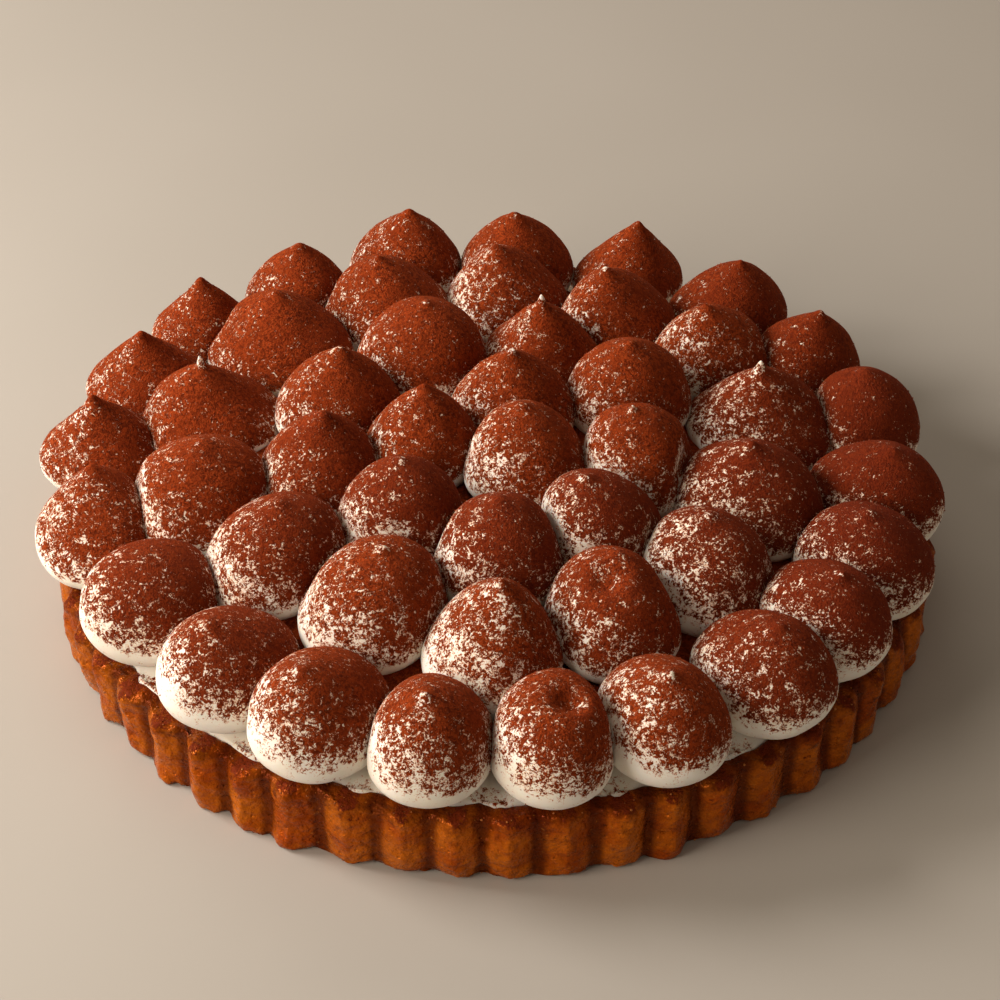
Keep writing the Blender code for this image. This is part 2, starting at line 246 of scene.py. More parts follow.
# Nibs that stand out: height and width
NIBS = {
    "dollop_a17": (1.4 * MM, 2.2 * MM), "dollop_b01": (2.6 * MM, 1.9 * MM),
    "dollop_b07": (3.0 * MM, 1.1 * MM), "dollop_b10": (1.4 * MM, 1.4 * MM),
    "dollop_c02": (2.6 * MM, 1.4 * MM), "dollop_c09": (1.4 * MM, 1.2 * MM),
}
NO_NIB = ("dollop_a12", "dollop_a16", "dollop_a21", "dollop_b08", "dollop_b12", "dollop_c05", "dollop_c07")
BARE_TIP = 1.2 * MM                  # how far round a nib the cream is bare
BARE_NIB = 0.9                       # how bare the nibs that stand out are
BARE_NIB_MOST = 0.7                  # and the others at most
# Dollops whose top the nozzle left hollow: where from the tip, as a bearing in degrees and a distance
HOLLOWS = {"dollop_a16": (-22.0, 3.2 * MM), "dollop_b12": (244.0, 6.5 * MM)}
HOLLOW_DROP = -0.2                   # how much lower than the tip a hollow is, for each metre away from it
HOLLOW_WIDTH = 4.6 * MM
HOLLOW_DEPTH = 4.4 * MM
# How far a dollop's lower half has settled outwards, by ring
SAG = {"a": 1.5 * MM, "b": 2.9 * MM, "c": 2.4 * MM, "d": 2.4 * MM}
SAG_OVER = (-0.35, 0.6)              # from and to these shares of the way from the heart to the foot

# ---- the photograph's camera ----
CAMERA_PLACE = Vector((0.0007, -0.54726, 0.47582))
CAMERA_AIM = Vector((0.001263, 0.770841, -0.637027))
LENS = 90.0
SENSOR = 36.0

# ---- the studio ----
FLOOR_REACH = 6.0
FLOOR_DARK = (0.37, 0.345, 0.31)
FLOOR_PALE = (0.41, 0.385, 0.35)
WORLD_COLOUR = (1.0, 0.83, 0.65, 1.0)
WORLD_STRENGTH = 0.28
LIGHTS_AIM = (0.0, 0.0, 0.03)
# name, place, diameter, power and colour
LIGHTS = (
    ("key", (-0.68, 0.095, 0.51), 0.37, 7.6, (1.0, 0.92, 0.84)),
    ("fill", (-1.20, -0.69, 0.73), 0.87, 16.6, (1.0, 0.87, 0.73)),
    ("back", (-0.60, 1.70, 1.20), 1.4, 10.0, (1.0, 0.87, 0.73)),
)

random_numbers = np.random.default_rng(SEED)


# ---- numbers and noise ----
def smooth_step(value, low, high):
    """0 below low, 1 above high, and eased between them."""
    share = np.clip((value - low) / (high - low), 0.0, 1.0)
    return share * share * (3.0 - 2.0 * share)


def lattice_noise(points, size, seed):
    """Smooth noise from -1 to 1 at an array of points, with features about size across."""
    place = points / size
    cell = np.floor(place).astype(np.int64)
    part = place - cell
    fade = part * part * (3.0 - 2.0 * part)
    total = np.zeros(points.shape[:-1])
    for corner in itertools.product((0, 1), repeat=3):
        key = (cell + corner) * (73856093, 19349663, 83492791)
        mixed = (key[..., 0] ^ key[..., 1] ^ key[..., 2] ^ (seed * 668265263)) & 0xFFFFFFFF
        mixed = ((mixed ^ (mixed >> 15)) * 739982445) & 0xFFFFFFFF
        mixed = ((mixed ^ (mixed >> 12)) * 695872825) & 0xFFFFFFFF
        value = (mixed ^ (mixed >> 15)) / 0x7FFFFFFF - 1.0
        weight = np.prod(np.where(corner, fade, 1.0 - fade), axis=-1)
        total += weight * value
    return total


def layered_noise(points, size, seed, layers=3):
    """Noise with finer, weaker layers on top of each other."""
    total = 0.0
    for layer in range(layers):
        total = total + lattice_noise(points, size / 2 ** layer, seed + layer) / 2 ** layer
    return total / (2.0 - 2.0 ** (1 - layers))


# ---- grids of points ----
def grid_normals(grid):
    """Outward normals of a grid of points."""
    down = np.empty_like(grid)
    down[1:-1] = grid[2:] - grid[:-2]
    down[0] = grid[1] - grid[0]
    down[-1] = grid[-1] - grid[-2]
    round_it = np.roll(grid, -1, axis=1) - np.roll(grid, 1, axis=1)
    normals = np.cross(down, round_it)
    normals[0] = np.sum(normals[1], axis=0)
    normals[-1] = np.sum(normals[-2], axis=0)
    return normals / np.maximum(np.linalg.norm(normals, axis=-1, keepdims=True), 1e-12)


def blur_grid(values, passes=1):
    """Each value eased towards its neighbours' mean."""
    for _ in range(passes):
        values = (np.roll(values, 1, axis=1) + 2.0 * values + np.roll(values, -1, axis=1)) / 4.0
        above = np.concatenate((values[:1], values[:-1]))
        below = np.concatenate((values[1:], values[-1:]))
        values = (above + 2.0 * values + below) / 4.0
    return values


def unroll(grid):
    """A grid's values as a list, with the first and last rows as one value each."""
    middle = grid[1:-1].reshape(-1, *grid.shape[2:])
    return np.concatenate((grid[:1, 0], middle, grid[-1:, 0]))


def grid_faces(rows, columns):
    """The faces of a grid's skin, as numbers into its unrolled points."""
    row, column = np.meshgrid(np.arange(rows - 3), np.arange(columns), indexing="ij")
    after = (column + 1) % columns
    corners = (row * columns + column, (row + 1) * columns + column,
               (row + 1) * columns + after, row * columns + after)
    faces = (np.stack(corners, axis=-1).reshape(-1, 4) + 1).tolist()
    last_row = (rows - 3) * columns + 1
    bottom = (rows - 2) * columns + 1
    for step in range(columns):
        after = (step + 1) % columns
        faces.append((0, 1 + step, 1 + after))
        faces.append((bottom, last_row + after, last_row + step))
    return faces


def add_piece(name, points, faces, material, layers=None):
    """A new piece of the tart, with named values at its points for the material to read."""
    mesh = bpy.data.meshes.new(name)
    mesh.from_pydata(points, [], faces)
    mesh.shade_smooth()
    for layer, values in (layers or {}).items():
        attribute = mesh.attributes.new(layer, "FLOAT", "POINT")
        attribute.data.foreach_set("value", np.asarray(values, np.float32))
    mesh.materials.append(material)
    piece = bpy.data.objects.new(name, mesh)
    bpy.context.scene.collection.objects.link(piece)
    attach(piece, "root")
    return piece


def add_grid(node, grid, material, layers):
    """A piece made from a grid of points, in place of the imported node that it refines."""
    faces = grid_faces(*grid.shape[:2])
    flat_layers = {layer: unroll(values) for layer, values in layers.items()}
    piece = add_piece(f"{node}_finish", unroll(grid), faces, material, flat_layers)
    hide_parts(node)
    return piece


# ---- the dollops' shapes ----
def blur_over_sphere(reach, polar, width):
    """Blurs distances from a dollop's heart, over polar angle and column, by an angle for each row."""
    spacing = np.gradient(polar)
    wide = width[:, None]
    near = np.exp(-0.5 * ((polar[:, None] - polar) / wide) ** 2) * spacing
    over_tip = np.exp(-0.5 * ((polar[:, None] + polar) / wide) ** 2) * spacing
    over_foot = np.exp(-0.5 * ((math.tau - polar[:, None] - polar) / wide) ** 2) * spacing
    across = over_tip + over_foot
    opposite = np.roll(reach, reach.shape[1] // 2, axis=1)
    total = (near.sum(axis=1) + across.sum(axis=1))[:, None]
    reach = (near @ reach + across @ opposite) / total
    waves = np.fft.rfft(reach, axis=1)
    order = np.arange(waves.shape[1])
    row_width = FACET_BLUR / np.maximum(np.sin(polar), 0.1)[:, None]
    return np.fft.irfft(waves * np.exp(-0.5 * (order * row_width) ** 2), reach.shape[1], axis=1)


def shape_dollop(node, number):
    """A dollop's grid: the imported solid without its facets, with soft lumps and the nozzle's nib."""
    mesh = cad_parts[node].data
    low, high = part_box(node)
    corners = [vertex.co for vertex in mesh.vertices]
    solid = BVHTree.FromPolygons(corners, [face.vertices for face in mesh.polygons])
    heart = Vector(((low.x + high.x) / 2.0, (low.y + high.y) / 2.0,
                    low.z + HEART_HEIGHT * (high.z - low.z)))
    tip = max(corners, key=lambda corner: corner.z)
    up = (tip - heart).normalized()
    side = Vector((0.0, 1.0, 0.0)).cross(up).normalized()
    front = up.cross(side)

    polar = math.pi * np.linspace(0.0, 1.0, DOLLOP_ROWS) ** ROW_CROWDING
    around = math.tau * np.arange(DOLLOP_COLUMNS) / DOLLOP_COLUMNS
    across = np.cos(around)[:, None] * side + np.sin(around)[:, None] * front
    ways = (np.cos(polar)[:, None, None] * np.array(up) + np.sin(polar)[:, None, None] * across)
    reach = np.array([[solid.ray_cast(heart, Vector(way))[3] for way in row] for row in ways])
    tip_reach = (tip - heart).length
    beside = np.searchsorted(polar, SHOULDER_ANGLE)
    level = reach[beside].mean() * math.sin(polar[beside])
    rise = reach[beside].mean() * math.cos(polar[beside])
    sharp = smooth_step((tip_reach - rise) / level, *SHARP_SLOPES)
    narrowing = (FACET_BLUR - TIP_BLUR) * sharp * np.exp(-((polar / TIP_REACH) ** 2))
    reach = blur_over_sphere(reach, polar, FACET_BLUR - narrowing)

    nib_height = random_numbers.uniform(*NIB_HEIGHT)
    nib_width = random_numbers.uniform(*NIB_WIDTH)
    if node in NO_NIB:
        nib_height = 0.0
    nib_height, nib_width = NIBS.get(node, (nib_height, nib_width))
    bend = random_numbers.uniform(-1.0, 1.0, 2) * NIB_BEND
    from_tip = (polar * tip_reach)[:, None]
    shoulder = np.exp(-((from_tip / SHOULDER_WIDTH) ** 2))
    nib = np.exp(-((from_tip / nib_width) ** NIB_TAPER))
    reach = reach + (tip_reach - reach[0, 0] - NIB_SUNK * nib_height) * shoulder + nib_height * nib

    grid = np.array(heart) + ways * reach[..., None]
    grid[..., :2] += bend * np.exp(-((from_tip / (NIB_BEND_REACH * nib_width)) ** 2))[..., None]
    if node in HOLLOWS:
        bearing, offset = math.radians(HOLLOWS[node][0]), HOLLOWS[node][1]
        middle = np.array(tip) + offset * np.array((math.cos(bearing), math.sin(bearing), HOLLOW_DROP))
        distance = np.linalg.norm(grid - middle, axis=-1)
        grid[..., 2] -= HOLLOW_DEPTH * np.exp(-((distance / HOLLOW_WIDTH) ** 2))
    normals = grid_normals(grid)
    lumps = lattice_noise(grid, LUMP_SIZE, 100 + number) * LUMP_HEIGHT
    ripples = lattice_noise(grid, RIPPLE_SIZE, 200 + number) * RIPPLE_HEIGHT
    away = 1.0 - nib
    grid = grid + normals * ((lumps + ripples - 0.5 * LUMP_HEIGHT) * away)[..., None]
    sag = SAG[node.removeprefix("dollop_")[0]]
    settled = sag * smooth_step((heart.z - grid[..., 2]) / (heart.z - low.z), *SAG_OVER)
    sideways = np.linalg.norm(normals[..., :2], axis=-1)
    settled *= smooth_step(sideways, 0.0, 0.5) / np.maximum(sideways, 0.1)
    grid[..., :2] += normals[..., :2] * settled[..., None]
    over_rim = np.linalg.norm(grid[..., :2], axis=-1) > FILLING_RADIUS
    lifted = np.maximum(grid[..., 2], CRUST_HEIGHT + RIM_CLEARANCE)
    grid[..., 2] = np.where(over_rim, lifted, grid[..., 2])
    bareness = BARE_NIB if node in NIBS else BARE_NIB_MOST * random_numbers.random() ** 3
    bareness *= nib_height > 0.0
    tip_cover = 1.0 - bareness * np.exp(-((from_tip / BARE_TIP) ** 2))
    return np.clip(grid, np.array(cad_box[0]), np.array(cad_box[1])), tip_cover


# ---- the crust's shape ----
def waves_round(bearing, waves):
    """Sine waves round the tart, each given as how many and their phase."""
    return [np.sin(count * bearing + phase) for count, phase in waves]


def flute_dip(bearing, sharpness):
    """How deep in its groove the wall is: 0 on a flute's crest, 1 in a groove."""
    stray = FLUTE_STRAY * sum(waves_round(bearing, STRAY_WAVES))
    place = (bearing - FLUTE_PHASE) * FLUTES / math.tau + stray
    from_crest = np.abs(2.0 * (place % 1.0) - 1.0)
    half_soft = GROOVE_SOFTNESS / 2.0
    softened = 1.0 + half_soft - np.sqrt((1.0 - from_crest) ** 2 + half_soft ** 2)
    return np.clip(softened, 0.0, 1.0) ** sharpness


def rim_wave(bearing):
    """The rim's unevenness, from -1 to 1."""
    return sum(waves_round(bearing, RIM_WAVES)) / len(RIM_WAVES)


def crust_profile():
    """The crust's cross-section from the middle of its floor, over the rim, to the underside's middle.

    Each point is a radius, the depth of the grooves there, a height, and how much relief it shows.
    """
    rim_inner = CRUST_RADIUS - RIM_WIDTH
    wall = rim_inner - RIM_BEVEL
    profile = [(0.0, 0.0, CRUST_FLOOR, 0.0), (FLOOR_MIDDLE, 0.0, CRUST_FLOOR, 0.0)]
    profile.append((wall - WALL_DRAFT, FLUTE_DEPTH_INSIDE, CRUST_FLOOR, 0.0))
    profile.append((wall - WALL_DRAFT / 2.0, FLUTE_DEPTH_INSIDE, CRUST_HEIGHT / 2.0, 0.0))
    profile.append((wall, FLUTE_DEPTH_INSIDE, CRUST_HEIGHT - 3.0 * RIM_DROP, RELIEF_INSIDE))
    for share in np.linspace(0.0, 1.0, INNER_EDGE_ROWS):
        angle = share * math.pi / 2.0
        profile.append((rim_inner - RIM_BEVEL * math.cos(angle), FLUTE_DEPTH_INSIDE,
                        CRUST_HEIGHT - RIM_DROP * (1.0 - math.sin(angle)), RELIEF_INNER_EDGE))
    rim_outer = CRUST_RADIUS - EDGE_REACH_IN
    for share in np.linspace(0.0, 1.0, RIM_ROWS)[1:]:
        profile.append((rim_inner + (rim_outer - rim_inner) * share,
                        FLUTE_DEPTH_INSIDE + (FLUTE_DEPTH_RIM - FLUTE_DEPTH_INSIDE) * share,
                        CRUST_HEIGHT, 1.0))
    for share in np.linspace(0.0, 1.0, OUTER_EDGE_ROWS)[1:]:
        angle = share * math.pi / 2.0
        profile.append((rim_outer + EDGE_REACH_IN * math.sin(angle),
                        FLUTE_DEPTH_RIM + (FLUTE_DEPTH_TOP - FLUTE_DEPTH_RIM) * share,
                        CRUST_HEIGHT - EDGE_REACH_DOWN * (1.0 - math.cos(angle)), 1.0))
    shoulder = CRUST_HEIGHT - EDGE_REACH_DOWN
    for share in np.linspace(1.0, 0.0, WALL_ROWS)[1:]:
        rounding = max(0.0, 1.0 - share * shoulder / FOOT_INSET) ** 2
        inset = FOOT_INSET * (1.0 - share) + FOOT_INSET * rounding
        profile.append((CRUST_RADIUS - inset,
                        FLUTE_DEPTH_FOOT + (FLUTE_DEPTH_TOP - FLUTE_DEPTH_FOOT) * share,
                        shoulder * share, 1.0))
    foot = CRUST_RADIUS - 2.0 * FOOT_INSET
    for inset, relief in RELIEF_BELOW:
        profile.append((foot - inset, FLUTE_DEPTH_FOOT * relief, 0.0, relief))
    profile.append((0.0, 0.0, 0.0, 0.0))
    return np.array(profile).T[..., None]


def shape_crust():
    """The crust's grid, and how deep in a groove and how high on the wall each of its points is."""
    radius, depth, height, relief = crust_profile()
    columns = FLUTES * COLUMNS_PER_FLUTE
    bearing = FLUTE_PHASE + math.tau * np.arange(columns) / columns
    bearing = bearing[None, :]
    level = np.clip(height / CRUST_HEIGHT, 0.0, 1.0)
    dip = flute_dip(bearing, FOOT_SHARPNESS + (RIM_SHARPNESS - FOOT_SHARPNESS) * level ** 3)
    fast, slow = waves_round(bearing, VARIATION_WAVES)
    variation = 1.0 + FLUTE_VARIATION * fast * slow
    edge = smooth_step(level, 0.5, 1.0) * (relief > 0.0)
    out = radius - depth * dip * variation + 0.5 * RIM_UNEVENNESS * rim_wave(bearing + 1.0) * edge
    up = height + RIM_UNEVENNESS * rim_wave(bearing) * edge * (relief >= RELIEF_INNER_EDGE)
    grid = np.stack((out * np.cos(bearing), out * np.sin(bearing), up + 0.0 * bearing), axis=-1)

    normals = grid_normals(grid)
    swell = lattice_noise(grid, SWELL_SIZE, 29) * SWELL_HEIGHT
    crumb = layered_noise(grid, CRUMB_SIZE, 31) * CRUMB_HEIGHT
    grit = lattice_noise(grid, GRIT_SIZE, 37) * GRIT_HEIGHT
    pits = smooth_step(lattice_noise(grid, PIT_SIZE, 41), *PITS_IN) * PIT_DEPTH
    low = smooth_step(1.0 - grid[..., 2] / FOOT_BAND, 0.0, 1.0) * (out > FILLING_RADIUS)
    ragged = (lattice_noise(grid, FOOT_RAGGED_SIZE, 43) - 0.4) * FOOT_RAGGED * low
    grid = grid + normals * ((swell + crumb + grit - pits) * relief + ragged)[..., None]
    grid = np.clip(grid, np.array(cad_box[0]), np.array(cad_box[1]))
    grid[0], grid[-1] = grid[0].mean(axis=0), grid[-1].mean(axis=0)
    return grid, dip * (depth > 0.0), level + 0.0 * bearing


# ---- the filling's shape ----
def dome_height(distance):
    """The filling's height at a distance from the tart's axis."""
    return FILLING_EDGE_HEIGHT + FILLING_RISE * (1.0 - (distance / FILLING_RADIUS) ** 2)


def in_plan(place):
    """Places in plan as points at height 0."""
    return np.concatenate((place, np.zeros_like(place[..., :1])), axis=-1)


def nearest_foot(place, feet):
    """How far the nearest dollop's foot is from places in plan."""
    return np.min([np.linalg.norm(place - foot, axis=-1) for foot in feet], axis=0)


def lip_height(place, feet):
    """How high the cream that spread from the dollops' feet stands over the filling, in plan."""
    distance = nearest_foot(place, feet) + LIP_RAGGED * lattice_noise(in_plan(place), LIP_RAGGED_SIZE, 51)
    return LIP_HEIGHT * np.sqrt(np.clip(1.0 - (distance / LIP_REACH) ** LIP_STEEPNESS, 0.0, 1.0))


def shape_filling(feet):
    """The filling's grid: a dome that the dollops' feet have spread over, with its side and underside."""
    bearing = (math.tau * np.arange(FILLING_COLUMNS) / FILLING_COLUMNS)[None, :]
    wall = CRUST_RADIUS - RIM_WIDTH - RIM_BEVEL - FLUTE_DEPTH_INSIDE * flute_dip(bearing, RIM_SHARPNESS)
    inner = np.linspace(0.0, FILLING_FINE_FROM, FILLING_ROWS[0])
    shares = np.linspace(0.0, 1.0, FILLING_ROWS[1])[1:]
    ways = np.stack((np.cos(bearing), np.sin(bearing)), axis=-1)
    ring = in_plan(ways * CRUST_RADIUS)
    fullness = LIP_FULLNESS
    for swing, size, seed in LIP_FULLNESS_SWINGS:
        fullness = fullness + swing * lattice_noise(ring, size, seed)
    between = smooth_step(nearest_foot(ways * wall[..., None], feet), GAP_FROM, GAP_TO) * fullness
    edge = wall + LIP_OVER_RIM * between
    radius = np.concatenate((inner[:, None] + 0.0 * bearing,
                             FILLING_FINE_FROM + (edge - FILLING_FINE_FROM) * shares[:, None]))
    place = ways * radius[..., None]

    to_edge = np.clip((edge - radius) / LIP_EDGE, 0.0, 1.0)
    rounding = np.sqrt(np.clip(1.0 - (1.0 - to_edge) ** 2, 0.0, 1.0))
    smear = SMEAR_HEIGHT * layered_noise(in_plan(place), SMEAR_SIZE, 53)
    over_rim = smooth_step(radius, wall + LIP_ONTO_RIM[0], wall + LIP_ONTO_RIM[1])
    base = dome_height(np.minimum(radius, FILLING_RADIUS)) * (1.0 - over_rim)
    base = base + (CRUST_HEIGHT + LIP_ON_RIM) * over_rim
    gap_rise = GAP_RISE * between * smooth_step(radius, *GAP_RISE_OVER)
    heap = HEAP_RISE * smooth_step(nearest_foot(place, feet), HEAP_FROM, HEAP_TO)
    heap *= 1.0 - smooth_step(radius, INNER_TO, OUTER_FROM)
    lip = np.maximum(lip_height(place, feet), gap_rise) * rounding
    height = base + lip + heap + smear * (1.0 - over_rim)
    top = np.concatenate((place, height[..., None]), axis=-1)

    underside = CRUST_FLOOR + FILLING_OFF_FLOOR
    side_radius = np.stack((wall[0] - FILLING_OFF_WALL, wall[0] - WALL_DRAFT, 0.0 * wall[0]))
    side_height = np.array((CRUST_HEIGHT - FILLING_SIDE_DOWN, underside, underside))
    side_height = side_height[:, None] + 0.0 * bearing
    side = np.concatenate((ways * side_radius[..., None], side_height[..., None]), axis=-1)
    return np.concatenate((top, side))


# ---- where the cocoa lands ----
def dust_ways(source):
    """Directions that the falling grains come from, round their source."""
    side = source.cross(Vector((0.0, 1.0, 0.0))).normalized()
    front = source.cross(side)
    ways = [source]
    for path in range(1, DUST_PATHS):
        angle = math.tau * path / (DUST_PATHS - 1)
        stray = math.cos(angle) * side + math.sin(angle) * front
        ways.append((source + DUST_SPREAD * stray).normalized())
    return ways


def open_to_dust(grid, normals, cover, source):
    """The share of the grains' paths to each point of a grid that no cream is in the way of."""
    ways = dust_ways(source)
    shown = np.zeros(grid.shape[:2])
    facing = normals @ np.array(source) > DUST_HIDDEN
    for row, column in zip(*np.nonzero(facing)):
        start = Vector(grid[row, column] + normals[row, column] * DUST_LIFT)
        clear = sum(cover.ray_cast(start, way, DUST_REACH)[0] is None for way in ways)
        shown[row, column] = clear / len(ways)
    return blur_grid(shown, 2)


def dust_cover(grid, normals, shown, bare_facing, seed):
    """How thickly cocoa lies over each point of a grid, from 0 to 1."""
    facing = normals @ np.array(DUST_FROM)
    drift = DUST_DRIFT * layered_noise(grid, DUST_DRIFT_SIZE, seed, 2)
    excess = np.maximum(facing - bare_facing + drift, 0.0)
    reached = 1.0 - DUST_SHELTER * (1.0 - shown)
    upturned = smooth_step(normals[..., 2] + 0.5 * drift, *DUST_HANG)
    return DUST_MOST * reached * upturned * (1.0 - np.exp(-((excess / DUST_FALLOFF) ** DUST_CURVE)))


def deviations(cover):
    """How far noise has to be filled, in its deviations, for the grains to cover a share of it."""
    held = np.clip(cover, 1e-6, 1.0 - 1e-6)
    return np.clip(NORMAL_SLOPE * np.log(held / (1.0 - held)), -MOST_DEVIATION, MOST_DEVIATION)


# ---- materials ----
class Look:
    """One procedural material, with short calls for the nodes it is made of."""

    def __init__(self, name):
        self.material = bpy.data.materials.new(name)
        self.material.use_nodes = True
        self.tree = self.material.node_tree
        self.shader = self.tree.nodes["Principled BSDF"]
        self.place = self.tree.nodes.new("ShaderNodeTexCoord").outputs["Object"]

    def feed(self, node, **inputs):
        """Sets or links a node's inputs by name, with _ for a space."""
        for name, value in inputs.items():
            numbered = name[1:].isdigit()
            socket = node.inputs[int(name[1:]) if numbered else name.replace("_", " ")]
            if isinstance(value, bpy.types.NodeSocket):
                self.tree.links.new(value, socket)
            else:
                socket.default_value = value
        return node

    def noise(self, size, detail=2.0, roughness=0.5, distortion=0.0):
        """Noise of mean 0.5 with features about size across."""
        node = self.tree.nodes.new("ShaderNodeTexNoise")
        return self.feed(node, Vector=self.place, Scale=1.0 / size, Detail=detail,
                         Roughness=roughness, Distortion=distortion).outputs["Fac"]

    def cells(self, size):
        """Distance to the nearest of scattered points, as a share of their spacing."""
        node = self.tree.nodes.new("ShaderNodeTexVoronoi")
        return self.feed(node, Vector=self.place, Scale=1.0 / size).outputs["Distance"]

    def layer(self, name):
        """Values that the mesh carries under a name."""
        node = self.tree.nodes.new("ShaderNodeAttribute")
        node.attribute_name = name
        return node.outputs["Fac"]

    def maths(self, operation, first, second):
        node = self.tree.nodes.new("ShaderNodeMath")
        node.operation = operation
        return self.feed(node, _0=first, _1=second).outputs[0]

    def span(self, value, low, high, to_low=0.0, to_high=1.0):
        """value moved from the span low to high onto another, eased and held at its ends."""
        node = self.tree.nodes.new("ShaderNodeMapRange")
        node.interpolation_type = "SMOOTHSTEP"
        return self.feed(node, Value=value, From_Min=low, From_Max=high,
                         To_Min=to_low, To_Max=to_high).outputs["Result"]

    def blend(self, share, first, second):
        """A colour between two."""
        node = self.tree.nodes.new("ShaderNodeMix")
        node.data_type = "RGBA"
        for number, value in ((0, share), (6, first), (7, second)):
            if isinstance(value, bpy.types.NodeSocket):
                self.tree.links.new(value, node.inputs[number])
            else:
                node.inputs[number].default_value = (*value, 1.0) if number else value
        return node.outputs[2]

    def bump(self, height, distance, below=None):
        """A relief of the given height map, distance deep, on top of another relief."""
        node = self.tree.nodes.new("ShaderNodeBump")
        self.feed(node, Height=height, Distance=distance, Strength=1.0)
        if below is not None:
            self.feed(node, Normal=below)
        return node.outputs["Normal"]

    def finish(self, **inputs):
        """The material, with its shader's inputs set."""
        self.feed(self.shader, **inputs)
        return self.material


# ---- the materials' colours, in linear light, and their grain ----
COCOA_DARK = (0.105, 0.0125, 0.0020)
COCOA_RED = (0.210, 0.0275, 0.0042)
COCOA_PALE = (0.350, 0.0530, 0.0090)
COCOA_MAROON = (0.115, 0.0130, 0.0048)
COCOA_FILM = (0.620, 0.235, 0.092)
IVORY = (0.86, 0.825, 0.765)
IVORY_DEEP = (0.84, 0.790, 0.690)
GOLDEN = (0.480, 0.116, 0.0055)
ORANGE = (0.320, 0.050, 0.0016)
# Dark caramel: the flecks and the browned rim, and also the painted shade in the grooves
CARAMEL_AND_GROOVE_SHADE = (0.070, 0.0075, 0.0003)
PALE_CRUMB = (0.60, 0.22, 0.035)
LOOSE_CRUMB_DARK = (0.25, 0.055, 0.006)
LOOSE_CRUMB_PALE = (0.50, 0.17, 0.03)
CRUST_GLAZE = 0.30                   # how much of the crust's gloss has its own colour, like burnt sugar's
# The noise that the cocoa fills: weight, size, detail, roughness and distortion of its parts
SPECKS = (
    (0.42, 0.62 * MM, 1.0, 0.6, 1.1),
    (0.36, 1.5 * MM, 1.0, 0.5, 1.0),
    (0.22, 3.6 * MM, 1.0, 0.5, 0.0),
)
# Two numbers are a span of values that turns into 0 to 1, and four are a span and what it turns into
FILM = (-1.7, 0.1, 0.0, 0.85)        # over how far the noise is filled, in its deviations
THICK = (-0.5, 0.5)
TONE_SIZE = 1.0 * MM
TONE = (0.38, 0.62)
PATCH_SIZE = 7.0 * MM
PATCH = (0.35, 0.65, 0.1, 0.5)
POWDER_SIZE = 0.5 * MM
POWDER_BUMP = 0.9 * MM
POWDER_BUMP_ON_CRUST = 0.3 * MM
CREAM_TINT_SIZE = 11.0 * MM
CREAM_BUMP_SIZE = 2.4 * MM
CREAM_BUMP = 0.10 * MM
CREAM_DEPTH = 2.6 * MM               # how far light gets into the cream
BAKE_SIZE = 13.0 * MM
BAKE = (0.38, 0.68)
FLECK_SIZE = 2.6 * MM
FLECK = (0.52, 0.74, 0.0, 0.45)
SHADED_GROOVE = (0.55, 0.95, 0.0, 0.80)    # painted shade in the grooves, over how deep in a groove it is
BROWN_RIM = (0.80, 1.02, 0.0, 0.6)        # over how high on the wall it is
BROWN_RIM_RAGGED = 0.5
PALE_CRUMB_SIZE = 0.9 * MM
PALE_CRUMBS = (0.66, 0.76, 0.0, 0.5)
PORE_SPACING = 2.6 * MM
PORE = (0.06, 0.22)
PORE_DEPTH = 0.22                    # against the crumb's
CRUMB_BUMP_SIZE = 2.2 * MM
CRUMB_BUMP = 1.2 * MM
GLOSS_SIZE = 1.6 * MM
GLOSS = (0.40, 0.62, 0.09, 0.30)


def cocoa_mask(look):
    """Where cocoa lies thick, where it is a thin film round that, and its colour."""
    field = 0.0
    for weight, *noise in SPECKS:
        field = look.maths("ADD", look.maths("MULTIPLY", look.noise(*noise), weight), field)
    field = look.maths("DIVIDE", look.maths("SUBTRACT", field, 0.5), FIELD_DEVIATION)
    filled = look.maths("ADD", field, look.layer("dust"))
    film = look.span(filled, *FILM)
    thick = look.span(filled, *THICK)
    tone = look.span(look.noise(TONE_SIZE, 3.0, 0.75, 0.8), *TONE)
    tone = look.blend(tone, COCOA_DARK, COCOA_PALE)
    patch = look.span(look.noise(PATCH_SIZE, 2.0), *PATCH)
    cocoa = look.blend(patch, tone, COCOA_RED)
    return thick, film, look.blend(look.layer("maroon"), cocoa, COCOA_MAROON)


def make_cream_look(name):
    """Cream with cocoa on it."""
    look = Look(name)
    thick, film, cocoa = cocoa_mask(look)
    ivory = look.blend(look.span(look.noise(CREAM_TINT_SIZE), 0.3, 0.7), IVORY, IVORY_DEEP)
    colour = look.blend(thick, look.blend(film, ivory, COCOA_FILM), cocoa)
    smooth = look.bump(look.noise(CREAM_BUMP_SIZE, 1.0), CREAM_BUMP)
    powder = look.maths("MULTIPLY", thick, look.noise(POWDER_SIZE, 2.0, 0.6))
    relief = look.bump(powder, POWDER_BUMP, smooth)
    roughness = look.span(thick, 0.0, 1.0, 0.45, 0.95)
    return look.finish(Base_Color=colour, Roughness=roughness, Normal=relief, Specular_IOR_Level=0.07,
                       Subsurface_Weight=0.35, Subsurface_Radius=(1.0, 0.72, 0.50),
                       Subsurface_Scale=CREAM_DEPTH)


